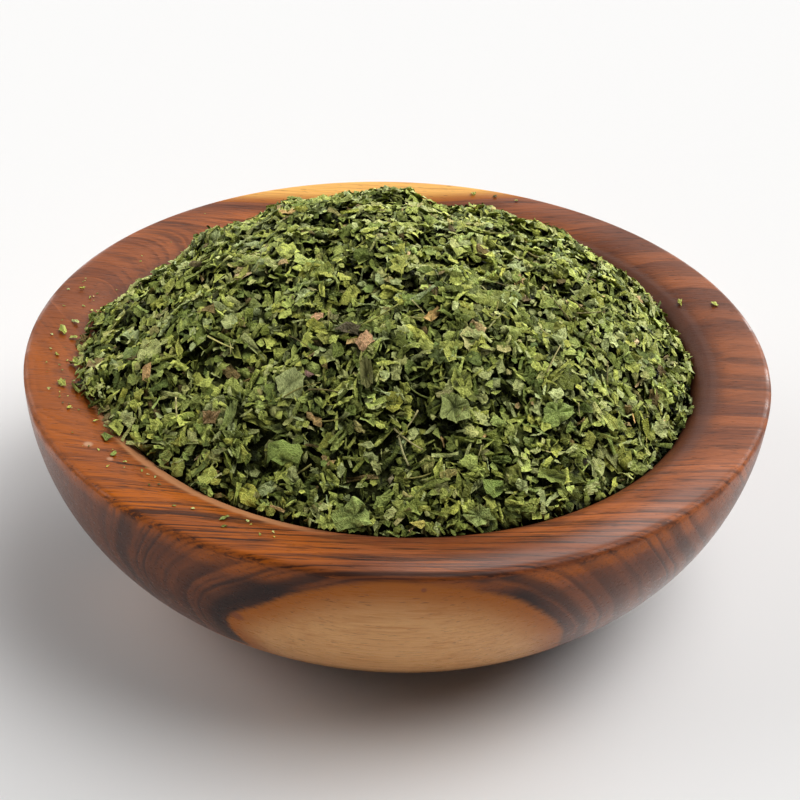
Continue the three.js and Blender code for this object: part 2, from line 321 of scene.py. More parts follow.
wood = {
    "pith": (8.35, 100.5),  # the tree's middle runs about along X, above the rim: its Y and Z at X = 0
    "pithSlope": (0.07, -0.07),
    "sapEdgeFront": 110.1,  # distance from the pith where heartwood ends
    "sapEdgeBack": 84.8,
    # where the rings close round the patch of sapwood: (X, side on which it lies, height Z, slope in Z)
    "patchEnds": [
        (-37.1, 1, 29.8, 0.47), (41.5, -1, 28.6, 0.157),
    ],
    "patchTaper": 0.6,
    "patchRound": 6.0,
    "runDownFrom": 2,  # this far under the crest the rings left of the patch start to run down the wall
    "branches": [  # (x, y, z, width, push): old branch bases that the rings swerve round
        (-106, -10, 54, 30, 20), (-37.3, 27.2, 54, 21.8, 38.9), (108, 34, 54, 26, 10),
    ],
    "ringDrift": 5,  # how far the rings wander
    "ringWaver": 1.2,
    "ringWidth": 2.9,
    "ringUneven": 5,  # how much the widths of the rings differ
    "lateWood": (0.4, 0.8, 0.84, 1.0),  # where in a ring its dark part starts, is full, fades and ends
    "fineRing": 1.2,
    "fineUneven": 8,
    "thinLine": (0.3, 0.7, 0.75, 1.0),
    "patterns": {  # (how fine along the tree, how fine across it, detail, roughness)
        "drift": (0.011, 0.016, 1.5, 0.5),
        "waver": (0.03, 0.09, 2.0, 0.5),
        "fibre": (0.05, 1.1, 3.0, 0.6),
        "hair": (0.12, 3.2, 2.0, 0.6),
        "blotch": (0.012, 0.05, 3.0, 0.55),
        "dash": (0.045, 1.2, 3.0, 0.65),
        "patch": (0.02, 0.16, 2.0, 0.5),
        "pore": (0.3, 2.6, 1.0, 0.5),
    },
    "redBrown": tint(192, 108, 58),
    "deepBrown": tint(126, 66, 36),
    "wallBrown": tint(80, 44, 29),
    "orange": tint(184, 94, 6),
    "ringLine": tint(40, 22, 18),
    "darkBand": tint(36, 17, 12),
    "sapPale": tint(216, 162, 106),
    "sapGold": tint(164, 90, 14),
    "sapBack": tint(246, 184, 92),
    # pale lip at the front left: wear and a painted highlight
    "wearAndHighlightLip": tint(198, 138, 94),
    "chip": tint(206, 160, 124),
    "zones": {  # each the product of its steps: (what is measured, from, to, value before, value after)
        "runDown": [("x", -75, -38, 0.55, 0)],
        "wallStart": [("x", -60, -15, 3.5, 0)],  # the wall's colour starts this much higher
        "topOnly": [("underCrest", 1.2, 2.4, 1, 0)],
        "crossCut": [("xSquared", 900, 3600, 0.2, 0.75)],
        "pores": [("pore", 0.66, 0.74, 0, 1)],
        "streaks": [("dash", 0.53, 0.63, 0, 1)],
        "calm": [("y", -62, -25, 1, 0.6), ("x", -78, -60, 0.5, 1), ("x", 5, 50, 1, 0.78)],
        "thinLines": [("patch", 0.4, 0.62, 0.05, 0.5), ("x", 10, 60, 1, 0.5)],
        "wallBrown": [("x", -55, -20, 0.85, 0.6)],
        "orangeFibres": [("fibre", 0.4, 0.8, 0, 0.25)],
        "orangeBlotches": [("blotch", 0.3, 0.62, 0.45, 0.95)],
        "underEdge": [  # there a strip just under the crest turns bright orange
            ("underCrest", 3.5, 6, 1, 0), ("underCrest", 0.5, 2.5, 0, 1), ("x", -5, 45, 0, 1),
            ("x", 60, 80, 0.7, 0),
        ],
        "shadedSides": [("backwards", -44, -18, 0, 0.28), ("xSquared", 1600, 3600, 0, 1)],
        "shadedRight": [("x", 15, 60, 0, 0.15)],
        "hairLines": [("hair", 0.5, 0.75, 0, 0.42)],
        "bandThinLeft": [("x", -45, -22, 2, 0)],  # by how much the dark band is thinner
        "bandThinMiddle": [("x", -20, 10, 0, 1.6)],
        "bandThinRight": [("x", 22, 40, 0, 2.6)],
        "bandShown": [("underCrest", 3, 8, 0.4, 1), ("x", -45, -22, 0.8, 0.95)],
        "backSapwood": [("y", -20, 20, 0, 1)],
        "sapFibres": [("fibre", 0.42, 0.75, 0, 0.35)],
        "sapHairs": [("hair", 0.62, 0.78, 0, 0.45)],
        "rightOfRim": [("x", 20, 60, 0, 1), ("y", -60, -25, 0, 1)],
        "frontLeft": [("x", -30, -8, 0.8, 0), ("y", -28, -12, 1, 0)],
        "wornEdge": [
            ("radius", 88.2, 89.4, 0, 0.3), ("underCrest", 1.4, 3, 1, 0), ("patch", 0.35, 0.6, 0, 1),
        ],
        "dullLip": [("radius", 74, 78, 0.25, 0)],
        "polishedWall": [("x", 10, 60, 0, 0.8), ("z", 18, 44, 1, 0)],
        "polishedCrown": [
            ("radius", 80, 87, 0, 1), ("radius", 88.4, 89.8, 1, 0.1), ("underCrest", 1, 4, 1, 0),
            ("y", -70, -35, 0.9, 0), ("x", -12, 14, 0, 1), ("patch", 0.3, 0.6, 0.5, 1),
        ],
    },
    "orangeZones": [  # (x, y, z, radius): where the oil has turned the wood orange
        (-88, -2, 54, 20), (-84, -32, 54, 24), (-66, -58, 54, 27), (-44, -76, 54, 28), (-20, -88, 54, 15),
        (12, -91, 54, 10),
    ],
    "chips": [  # (x, y, z, radius): small pale scuffs
        (-69.7, -45.7, 54, 1.5), (-64, -50.9, 54, 1.2), (64.5, 41.8, 54, 1.0), (66.7, 35.6, 54, 0.9),
        (79, -8, 54, 0.8),
    ],
    "knots": [  # (x, y, z, radius): small dark marks
        (7.3, -90.6, 50.6, 0.9), (-33, -80.5, 33.5, 2.2),
    ],
    "markStrength": 0.8,
    "wallDepth": (4, 9),  # how far under the crest the wall's colour starts, and where it is full
}


# A place in the wood, in millimetres, with the patterns of the grain there
class Grain:
    def __init__(self, f):
        self.f = f
        coordinates = f.node("ShaderNodeTexCoord", {}, {}, "Object")
        self.place = f.vector("MULTIPLY", coordinates, (1 / mm, 1 / mm, 1 / mm))
        split = f.node("ShaderNodeSeparateXYZ", {}, {0: self.place})
        self.x, self.y, self.z = (Wire(f, part) for part in split.socket.node.outputs)
        self.underCrest = crest - self.z
        self.xSquared = self.x ** 2
        self.radius = (self.xSquared + self.y ** 2) ** 0.5
        self.backwards = self.y - self.x * 0.15
        for name in wood["patterns"]:
            setattr(self, name, self.pattern(name))
        self.onWall = f.step(self.underCrest + self.zone("wallStart"), *wood["wallDepth"])
        self.onTop = self.zone("topOnly")
        self.calm = self.zone("calm")
        self.crossCut = self.onWall * self.zone("crossCut")  # where the surface cuts across the fibres
        self.streak = self.zone("streaks")
        self.openPore = self.zone("pores")

    def pattern(self, name):
        along, across, detail, roughness = wood["patterns"][name]
        scaled = self.f.vector("MULTIPLY", self.place, (along, across, across))
        return self.f.noise(scaled, 1.0, detail, roughness)

    def zone(self, name):
        steps = [self.f.step(getattr(self, measure), *limits) for measure, *limits in wood["zones"][name]]
        return math.prod(steps[1:], start=steps[0])

    def mark(self, colour, spots, paint):
        for x, y, z, reach in spots:
            share = self.f.spot(self.place, (x, y, z), reach) * wood["markStrength"]
            colour = self.f.mix(share, colour, paint)
        return colour


# Distance from the pith, whose rings close round both ends of the patch of sapwood
def pithDistance(g):
    acrossY = g.y - g.x * wood["pithSlope"][0] - wood["pith"][0]
    acrossZ = g.z - g.x * wood["pithSlope"][1] - wood["pith"][1]
    distance = (acrossY ** 2 + acrossZ ** 2) ** 0.5
    for endX, side, endZ, slope in wood["patchEnds"]:
        past = (g.x - endX) * side - (endZ - g.z) * slope
        past = past * wood["patchTaper"] + wood["sapEdgeFront"]
        distance = g.f.maths("SMOOTH_MIN", distance, past, wood["patchRound"])
    below = g.f.maths("MAXIMUM", g.underCrest - wood["runDownFrom"], 0.0)
    return distance - below * g.zone("runDown")


# Tone of the ring at a place, and how dark its late wood and its thin lines are
def ringPattern(g, distance):
    f = g.f
    away = distance + (g.drift - 0.5) * wood["ringDrift"] + (g.waver - 0.5) * wood["ringWaver"]
    for x, y, z, width, push in wood["branches"]:
        off = f.vector("DISTANCE", g.place, (x, y, z), 1) / width
        away = away + math.e ** (off ** 2 * -1) * push
    uneven = f.noise(away, 0.06, 2.0, 0.5, "1D") - 0.5
    count = away / wood["ringWidth"] + uneven * wood["ringUneven"]
    ring = f.maths("FLOOR", count)
    tone = f.node("ShaderNodeTexWhiteNoise", {"noise_dimensions": "1D"}, {"W": ring})
    fineCount = away / wood["fineRing"] + uneven * wood["fineUneven"]
    inFine = f.maths("FRACT", fineCount)
    broken = (g.dash - 0.48) * 4.5 * g.onTop  # on top the late wood breaks up into dashes
    shown = f.step(tone + (g.blotch - 0.5) * 0.9 + broken, 0.1, 0.8, 0.12, 1.0)
    late = f.pulse(count - ring, *wood["lateWood"]) * g.calm * shown
    thin = f.pulse(inFine, *wood["thinLine"]) * g.calm * g.zone("thinLines")
    return tone, late, thin


def heartwood(g, tone, late, thin):
    f = g.f
    brown = f.step(g.blotch + (tone - 0.5) * 0.25, 0.32, 0.72)
    colour = f.mix(brown, wood["deepBrown"], wood["redBrown"])
    colour = f.mix(g.onWall * g.zone("wallBrown"), colour, wood["wallBrown"])
    orange = g.zone("orangeFibres")
    blotches = g.zone("orangeBlotches")
    for x, y, z, reach in wood["orangeZones"]:
        orange = orange + f.spot(g.place, (x, y, z), reach) * blotches
    orange = f.maths("MINIMUM", orange + g.zone("underEdge"), 1.0)
    colour = f.mix(orange * (1 - g.onWall * 0.85), colour, wood["orange"])
    shaded = (g.zone("shadedSides") + g.zone("shadedRight")) * (1 - g.onWall)
    colour = f.mix(shaded, colour, wood["wallBrown"])
    streaks = g.streak * g.calm * (g.onTop * 0.4 + 0.1)
    hairs = g.zone("hairLines") * (1 - g.crossCut)
    for share in (streaks, thin, late * 0.85, hairs):
        colour = f.mix(share, colour, wood["ringLine"])
    return colour


# The golden start of the sapwood, and its pale body
def sapwood(g, inSap):
    f = g.f
    pale = f.mix(g.zone("backSapwood"), wood["sapPale"], wood["sapBack"])
    colour = f.mix(f.step(inSap, 0.3, 5.0), wood["sapGold"], pale)
    colour = f.mix(g.zone("sapFibres"), colour, wood["sapGold"])
    colour = f.mix(g.streak * 0.3, colour, wood["sapGold"])
    return f.mix(g.zone("sapHairs"), colour, wood["deepBrown"])


def bowlWood():
    f = Finish("turnedWood")
    g = Grain(f)
    distance = pithDistance(g)
    tone, late, thin = ringPattern(g, distance)
    heart = heartwood(g, tone, late, thin)
    sapEdge = f.step(g.y, -30, 30, wood["sapEdgeFront"], wood["sapEdgeBack"])
    inSap = distance - sapEdge + (g.fibre - 0.5) * 0.6 + g.waver - 0.5
    # the dark band that the heartwood ends in
    thinner = g.zone("bandThinLeft") + g.zone("bandThinMiddle") + g.zone("bandThinRight")
    heart = f.mix(f.step(inSap - thinner, -6.4, -3.0) * g.zone("bandShown"), heart, wood["darkBand"])
    colour = f.mix(f.step(inSap, -0.4, 0.5), heart, sapwood(g, inSap))
    colour = f.mix(g.openPore * 0.55 * (1 - g.crossCut), colour, wood["ringLine"])

    # painted shade darkens the inner lip, most on the right
    onRight = g.zone("rightOfRim")
    paintedLipShade = f.step(g.radius - onRight * 3, 73, 78.5, 0.6, 0.0) * (1 + onRight * 0.4)
    colour = f.mix(paintedLipShade, colour, wood["wallBrown"])
    # the front left of the lip is worn pale and lit with a painted highlight
    wearAndHighlightLip = f.step(g.radius + g.fibre * 1.6, 76.8, 78, 1.0, 0.0) * g.zone("frontLeft")
    colour = f.mix(wearAndHighlightLip, colour, wood["wearAndHighlightLip"])
    colour = g.mark(colour, wood["chips"], wood["chip"])
    colour = g.mark(colour, wood["knots"], wood["deepBrown"])

    relief = g.fibre * 0.6 + g.hair * 0.5 - g.openPore - late * 0.3
    bump = f.node("ShaderNodeBump", {}, {"Strength": 0.2, "Distance": 0.0004, "Height": relief})
    gloss = f.step(g.fibre + g.openPore * 0.4, 0.2, 0.9, 0.25, 0.38) + g.zone("wornEdge") + g.zone("dullLip")
    # handled more at the lower right and along the front of the rim
    polish = g.zone("polishedWall") + g.zone("polishedCrown")
    return f.surface(Base_Color=colour, Roughness=gloss, Normal=bump, Specular_IOR_Level=0.2,
                     Coat_Weight=polish, Coat_Roughness=0.25)


def makeBowl():
    vertices, faces = lathe(bowlSection(), bowl["segments"])
    piece = addPiece("turned_bowl", vertices, faces, bowlWood(), smooth=True)
    piece.data.set_sharp_from_angle(angle=math.radians(40))
    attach(piece, "root")
    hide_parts("bowl")
    print("bowl turned:", len(faces), "faces")


# Heap of dried leaf

heap = {
    "edgeRadius": 72.3,
    "spills": [  # (angle, width, reach): where the flakes have run out over the lip
        (3.3, 0.46, 7), (4.75, 0.5, 1.4), (1.6, 0.9, 1.0),
    ],
    "thinSpill": (3.3, 0.6, 0.62),  # (angle, width, slope) of the thin spill over the left of the rim
    "steeper": 2.5,  # how much steeper the edge may be away from it
    "edgeDrop": 0.5,
    "frays": [(17, 0.4, 0.45), (29, 2.1, 0.4), (47, 4.4, 0.35)],  # (waves, start, reach) along the edge
    "topRise": 31,
    "fullness": 2.5,
    "swellFade": 4,  # the power of the way out at which swells fade towards the edge
    "swells": [  # (x, y, width, rise)
        (-41, 38, 12, 6.4), (-50, 33, 6, 4.5), (-60, 20, 8, -9), (-2, 2, 9, 0.8), (13, 14, 15, -2.2),
        (26, 34, 16, -3), (40, 38, 9, 1.8), (-12, 22, 12, -1), (-16, 46, 8, -1.6), (-3, 47, 5, 1.5),
        (9, 50, 7, -2.2), (62, 24, 9, 2), (-22, -60, 10, -1.6), (31, -58, 11, -1.6), (-60, 37, 6, -9),
        (-47, 46, 5, 6), (29, 60, 6, 5),
    ],
    "looseDepth": 8,  # how thick the layer of separate flakes is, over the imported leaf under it
    "thinning": (0.75, 6),  # how much thinner at the edge, and the power of the way out
    "packedReach": 0.955,
    "packedRough": 0.7,
    "packedGap": 0.3,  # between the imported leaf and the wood
    "packedRings": 60,
    "packedSides": 220,
    "seed": 41,
}


# Bell curve round an angle
def bell(angle, centre, width):
    turn = angle - centre
    off = np.arctan2(np.sin(turn), np.cos(turn)) / width
    return np.exp(-off ** 2)


def heapEdge(angle):
    radius = np.full(np.shape(angle), float(heap["edgeRadius"]))
    for centre, width, reach in heap["spills"]:
        radius = radius + reach * bell(angle, centre, width)
    for waves, start, reach in heap["frays"]:
        radius = radius + reach * np.sin(angle * waves + start)
    return radius


def heapTop(x, y):
    edge = heapEdge(np.arctan2(y, x))
    edgeHeight = woodTop(np.maximum(edge, heap["edgeRadius"]))
    share = np.minimum(1, np.hypot(x, y) / edge)
    height = edgeHeight + (crest + heap["topRise"] - edgeHeight) * (1 - share ** heap["fullness"])
    for centreX, centreY, width, rise in heap["swells"]:
        off = np.hypot(x - centreX, y - centreY) / width
        height = height + rise * np.exp(-off ** 2) * (1 - share ** heap["swellFade"])
    centre, width, slope = heap["thinSpill"]
    slope = slope + heap["steeper"] * (1 - bell(np.arctan2(y, x), centre, width))
    return np.minimum(height, crest - heap["edgeDrop"] + slope * edge * (1 - share))


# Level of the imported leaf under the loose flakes
def packedTop(x, y):
    share = np.minimum(1, np.hypot(x, y) / heapEdge(np.arctan2(y, x)))
    thinner, power = heap["thinning"]
    return heapTop(x, y) - heap["looseDepth"] * (1 - thinner * share ** power)


def leafFinish():
    f = Finish("driedLeaf")
    shade = f.node("ShaderNodeAttribute", {"attribute_name": "leafColour"}, {}, "Color")
    place = f.node("ShaderNodeAttribute", {"attribute_name": "leafPlace"}, {}, "Vector")
    veinNet = f.node("ShaderNodeTexVoronoi", {"feature": "DISTANCE_TO_EDGE"},
                     {"Vector": place, "Scale": 0.9})
    vein = f.step(veinNet, 0.02, 0.16, 1.0, 0.0)
    mottle = f.noise(place, 1.3, 3.0, 0.6)
    crinkle = f.noise(place, 3.2, 2.0, 0.6)
    colour = f.mix(f.step(mottle, 0.3, 0.72), f.mix(1.0, shade, (0.66, 0.68, 0.6), "MULTIPLY"),
                   f.mix(1.0, shade, (1.25, 1.23, 1.2), "MULTIPLY"))
    colour = f.mix(vein * 0.4, colour, f.mix(1.0, shade, (1.6, 1.5, 1.6), "MULTIPLY"))
    relief = crinkle * 0.8 + mottle * 0.9 + vein * 0.4
    bump = f.node("ShaderNodeBump", {}, {"Strength": 0.95, "Distance": 0.0004, "Height": relief})
    return f.surface(Base_Color=colour, Roughness=0.62, Normal=bump, Specular_IOR_Level=0.25)


# Dark as painted shade: this leaf lies under the loose flakes and shows only down the gaps
def packedShadeFinish():
    f = Finish("packedLeafPaintedShade")
    coordinates = f.node("ShaderNodeTexCoord", {}, {}, "Object")
    grain = f.noise(coordinates, 420, 3.0, 0.6)
    colour = f.mix(f.step(grain, 0.3, 0.7), tint(26, 28, 12), tint(62, 66, 30))
    bump = f.node("ShaderNodeBump", {}, {"Strength": 0.8, "Distance": 0.0015, "Height": grain})
    return f.surface(Base_Color=colour, Roughness=0.9, Normal=bump, Specular_IOR_Level=0.1)


def makePackedLeaf():
    rng = np.random.default_rng(heap["seed"])
    gap = heap["packedGap"]
    rings = heap["packedRings"]
    sides = heap["packedSides"]
    angles = np.arange(sides) * 2 * math.pi / sides
    vertices = [(0, 0, float(packedTop(0, 0)) * mm)]
    low = []
    for ring in range(1, rings + 1):
        share = ring / rings
        radius = heapEdge(angles) * share * heap["packedReach"]
        x = radius * np.cos(angles)
        y = radius * np.sin(angles)
        floorHeight = woodTop(radius) + gap
        rough = rng.uniform(-heap["packedRough"], heap["packedRough"], sides)
        top = np.maximum(packedTop(x, y) + rough, floorHeight + gap)
        if ring == rings:
            top = floorHeight + gap / 2
        vertices += list(zip(x * mm, y * mm, top * mm))
        if ring < rings:
            low.append(list(zip(x * mm, y * mm, floorHeight * mm)))
    topCount = len(vertices)
    vertices.append((0, 0, (float(woodTop(0)) + gap) * mm))
    for ringPoints in low:
        vertices += ringPoints
    faces = []

    def at(start, ring, side):
        return start + (ring - 1) * sides + side % sides

    for i in range(sides):
        faces.append((0, at(1, 1, i), at(1, 1, i + 1)))
        faces.append((topCount, at(topCount + 1, 1, i + 1), at(topCount + 1, 1, i)))
        for ring in range(1, rings):
            faces.append((at(1, ring, i), at(1, ring + 1, i), at(1, ring + 1, i + 1), at(1, ring, i + 1)))
        for ring in range(1, rings - 1):
            faces.append((at(topCount + 1, ring, i), at(topCount + 1, ring, i + 1),
                          at(topCount + 1, ring + 1, i + 1), at(topCount + 1, ring + 1, i)))
        faces.append((at(topCount + 1, rings - 1, i), at(topCount + 1, rings - 1, i + 1),
                      at(1, rings, i + 1), at(1, rings, i)))
    piece = addPiece("packed_leaf", vertices, faces, packedShadeFinish(), smooth=True)
    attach(piece, "root")
    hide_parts("parsley_heap")
    print("packed leaf under the flakes:", len(faces), "faces")


nowhere = -100  # a height far below the bowl, where nothing lies
wholeTurn = 6.28  # near enough for the spin of a flake

flakes = {
    "seed": 2026,
    "patterns": 260,  # different torn shapes, each used many times at its own size and turn
    "count": 24000,
    "median": 3.9,
    "spread": 0.44,
    "smallest": 1.2,
    "largest": 8.5,
    "largeFrom": 3.6,  # from this size on a flake has a shape with more points
    "thickness": 0.14,
    "toneSpread": (0.83, 1.17),  # how the tone differs over one flake
    "mostBright": 0.38,
    "places": 4,  # as many places are looked at for each flake, and the emptiest is taken
    "emptyFrom": 0.2,
    "tries": 3,
    "lean": 24,  # degrees
    "steepShare": 0.2,
    "steepLean": (45, 85),
    "overhang": 0.8,  # how far a flake may stand out past the heap's edge
    "proud": 2.0,  # how far a flake may stand up over the heap's surface
    "support": 0.8,  # share of a flake's underside that lies over what it rests on
    "settled": 0.8,  # how far the loose flakes lie under the outline of the whole heap
    "woodGap": 0.12,
    "leastCover": 2.5,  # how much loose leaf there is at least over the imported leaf, in the middle
    "lumpSeed": 9,
    "lumps": 330,  # hollows and knots that make the surface uneven
    "lumpReach": 72,
    "lumpWidth": (2.5, 6.5),
    "lumpRise": (-4.5, 1.5),
    "lumpFade": 8,
    "hollows": [  # (x, y, width, depth): the large dark hollows, and below 0 places that are filled up
        (3.4, -60.3, 6.5, 6.5), (-9.8, -59.5, 4, 2.5), (-27.5, -56.8, 6, 3.5), (-31.4, -19.9, 4.5, 3),
        (-9.6, -16.7, 4.5, 3), (2.5, -24.5, 5.5, 3), (9.1, -32.5, 4, 2), (48.8, -42.5, 4, 2),
        (18.3, -1.8, 4, 2.5), (-40.5, -48, 5, -2.4), (-36, -54, 4.5, -2.8), (-45, -43, 4.5, -3.5),
    ],
    "gapReach": 4,  # gaps up to this many cells to each side count
    "gapDepth": 2.0,  # leaf this far down between the others gets the darkest painted shade
    # how much the painted shade in the gaps takes from red, green and blue
    "paintedGapShade": (0.93, 0.92, 0.98),
    "piecesOf": 190000,  # triangles in one piece
}
leafKinds = [  # (share, colour, how much it varies)
    (0.47, (189, 200, 101), 0.24), (0.24, (132, 146, 67), 0.3), (0.24, (205, 214, 138), 0.1),
    (0.02, (202, 196, 126), 0.12), (0.015, (140, 122, 74), 0.24), (0.015, (218, 188, 130), 0.14),
]


# Outlines of torn leaf, one unit long, with their points in order round the middle
def shardOutline(rng):
    points = int(rng.integers(4, 8))
    turn = (np.arange(points) + rng.uniform(-0.36, 0.36, points)) * 2 * math.pi / points
    reach = rng.uniform(0.26, 0.55, points)
    narrow = rng.uniform(0.34, 0.9)
    return np.stack([reach * np.cos(turn), reach * np.sin(turn) * narrow], 1)


def toothedOutline(rng):
    teeth = int(rng.integers(2, 4))
    along = np.linspace(-0.42, 0.4, 2 * teeth + 1)
    width = rng.uniform(0.22, 0.42) * np.sqrt(np.clip(1 - (along / 0.62) ** 2, 0, 1))
    sides = []
    for side in (-1, 1):
        nick = width * np.where(np.arange(len(along)) % 2, rng.uniform(0.62, 0.86), rng.uniform(0.95, 1.15))
        nick = nick * rng.uniform(0.85, 1.1, len(along))
        sides.append(np.stack([along + rng.uniform(-0.02, 0.04, len(along)), side * nick], 1))
    tip = np.array([[rng.uniform(0.46, 0.55), rng.uniform(-0.06, 0.06)]])
    return np.concatenate([sides[0], tip, sides[1][::-1]])


def stripOutline(rng):
    width = rng.uniform(0.07, 0.15)
    along = np.array([-0.5, -0.16, 0.18, 0.5])
    lower = np.stack([along, -width * rng.uniform(0.4, 1.2, 4)], 1)
    upper = np.stack([along, width * rng.uniform(0.4, 1.2, 4)], 1)
    return np.concatenate([lower, upper[::-1]])


# Puts a nick or a point between every two points of an outline
def nick(rng, outline, low, high):
    share = rng.uniform(0.3, 0.7, (len(outline), 1))
    middles = outline * share + np.roll(outline, -1, 0) * (1 - share)
    nicked = np.empty((2 * len(outline), 2))
    nicked[0::2] = outline
    nicked[1::2] = middles * rng.uniform(low, high, (len(outline), 1))
    return nicked


def nickedOutline(rng):
    return nick(rng, shardOutline(rng), 0.82, 1.16)


def raggedOutline(rng):
    return nick(rng, nickedOutline(rng), 0.86, 1.1)


def largeOutline(rng):
    pick = rng.random()
    if pick < 0.32:
        return toothedOutline(rng)
    if pick < 0.5:
        return raggedOutline(rng)
    return nickedOutline(rng) if pick < 0.78 else stripOutline(rng)


def smallOutline(rng):
    pick = rng.random()
    return shardOutline(rng) if pick < 0.5 else stripOutline(rng) if pick < 0.84 else nickedOutline(rng)


def anyCurl(rng):
    return rng.choice([-1, 1]) * rng.uniform(1.8, 4.2) if rng.random() < 0.2 else rng.normal(0, 0.8)


# One torn shape: an outline of few points, sometimes with a ring inside it, bent and crumpled.
# The samples are spread over it and say where it touches what lies under it.
def tornPattern(rng, outline, detailed, curl):
    points = len(outline)
    flat = [np.array([[0.0, 0.0]])]
    if detailed:
        flat.append(outline * rng.uniform(0.45, 0.6, (points, 1)))
    flat.append(outline)
    flat = np.concatenate(flat)
    bendAngle = rng.normal(0, 0.5) + (math.pi / 2 if rng.random() < 0.5 else 0)
    curl = curl if abs(curl) > 0.05 else 0.05
    u = flat @ np.array([math.cos(bendAngle), math.sin(bendAngle)])
    v = flat @ np.array([-math.sin(bendAngle), math.cos(bendAngle)])
    height = (1 - np.cos(curl * u)) / curl
    u = np.sin(curl * u) / curl
    height = height + rng.normal(0, 0.3) * u * v
    if rng.random() < 0.4:  # folded at the rib
        height = height + np.abs(flat[:, 1]) * rng.normal(0, 0.4)
    height = height + rng.normal(0, 0.06 if detailed else 0.04, len(flat))
    x = u * math.cos(bendAngle) - v * math.sin(bendAngle)
    y = u * math.sin(bendAngle) + v * math.cos(bendAngle)
    sheet = np.stack([x, y, height - height.mean()], 1)

    inner = 1 + (points if detailed else 0)
    upper = []
    for i in range(points):
        after = (i + 1) % points
        if detailed:
            upper.append((0, 1 + i, 1 + after))
            upper.append((1 + i, inner + i, inner + after))
            upper.append((1 + i, inner + after, 1 + after))
        else:
            upper.append((0, inner + i, inner + after))
    upper = np.array(upper)
    steps = 2 if detailed else 4
    weights = []
    for corner in upper:
        for a in range(steps + 1):
            for b in range(steps + 1 - a):
                row = np.zeros(len(sheet))
                row[corner] = (a / steps, b / steps, (steps - a - b) / steps)
                weights.append(row)
    # the underside shares the outline and has its own inner points
    lowerIndex = np.arange(len(sheet))
    lowerIndex[:inner] += len(sheet)
    lower = lowerIndex[upper[:, ::-1]]
    return {
        "sheet": sheet,
        "flat": flat,
        "inner": inner,
        "faces": np.concatenate([upper, lower]),
        "samples": np.unique(np.round(np.array(weights), 4), axis=0),
    }


def turnMatrix(axisX, axisY, lean, spin):
    cosLean = math.cos(lean)
    sinLean = math.sin(lean)
    length = math.hypot(axisX, axisY) or 1.0
    ax = axisX / length
    ay = axisY / length
    leaning = np.array([
        [cosLean + ax * ax * (1 - cosLean), ax * ay * (1 - cosLean), ay * sinLean],
        [ax * ay * (1 - cosLean), cosLean + ay * ay * (1 - cosLean), -ax * sinLean],
        [-ay * sinLean, ax * sinLean, cosLean],
    ])
    cosSpin = math.cos(spin)
    sinSpin = math.sin(spin)
    return leaning @ np.array([[cosSpin, -sinSpin, 0], [sinSpin, cosSpin, 0], [0, 0, 1]])


# The ground that falling flakes land on: a grid of heights over the bowl
class Ground:
    def __init__(self, cell=0.5, reach=92):
        self.cell = cell
        self.reach = reach
        axis = np.arange(-reach, reach, cell) + cell / 2
        x, y = np.meshgrid(axis, axis)
        radius = np.hypot(x, y)
        edge = heapEdge(np.arctan2(y, x))
        self.wood = woodTop(radius)
        packed = np.where(radius < edge * heap["packedReach"], packedTop(x, y), nowhere)
        self.height = np.maximum(self.wood, packed)
        uneven = np.full_like(x, -flakes["settled"])
        rng = np.random.default_rng(flakes["lumpSeed"])
        for _ in range(flakes["lumps"]):
            turn = rng.uniform(0, 2 * math.pi)
            far = flakes["lumpReach"] * math.sqrt(rng.uniform())
            width = rng.uniform(*flakes["lumpWidth"])
            off = np.hypot(x - far * math.cos(turn), y - far * math.sin(turn)) / width
            uneven += rng.uniform(*flakes["lumpRise"]) * np.exp(-off ** 2)
        for hollowX, hollowY, width, depth in flakes["hollows"]:
            uneven -= depth * np.exp(-(np.hypot(x - hollowX, y - hollowY) / width) ** 2)
        share = np.minimum(1, radius / edge)
        lowest = packedTop(x, y) + flakes["leastCover"] * (1 - share)
        level = np.maximum(heapTop(x, y) + uneven * (1 - share ** flakes["lumpFade"]), lowest)
        self.target = np.where(radius < edge, level, nowhere)
        self.side = len(axis)

    def cells(self, x, y):
        column = np.clip(((x + self.reach) / self.cell).astype(int), 0, self.side - 1)
        row = np.clip(((y + self.reach) / self.cell).astype(int), 0, self.side - 1)
        return row, column

    # the surface with its gaps closed, from which the depth of a gap is measured
    def closed(self):
        reach = flakes["gapReach"]

        def spread(heights, pick):
            for axis in (0, 1):
                heights = pick([np.roll(heights, shift, axis) for shift in range(-reach, reach + 1)], axis=0)
            return heights
        return spread(spread(self.height, np.max), np.min)

    # lets a shape down until it rests; gives its height and what it covers
    def rest(self, shape, support):
        row, column = self.cells(shape[:, 0], shape[:, 1])
        gaps = self.height[row, column] - shape[:, 2]
        rank = int(support * (len(gaps) - 1))
        onLeaf = np.partition(gaps, rank)[rank]
        onWood = (self.wood[row, column] - shape[:, 2]).max() + flakes["woodGap"]
        return max(onLeaf, onWood), row, column


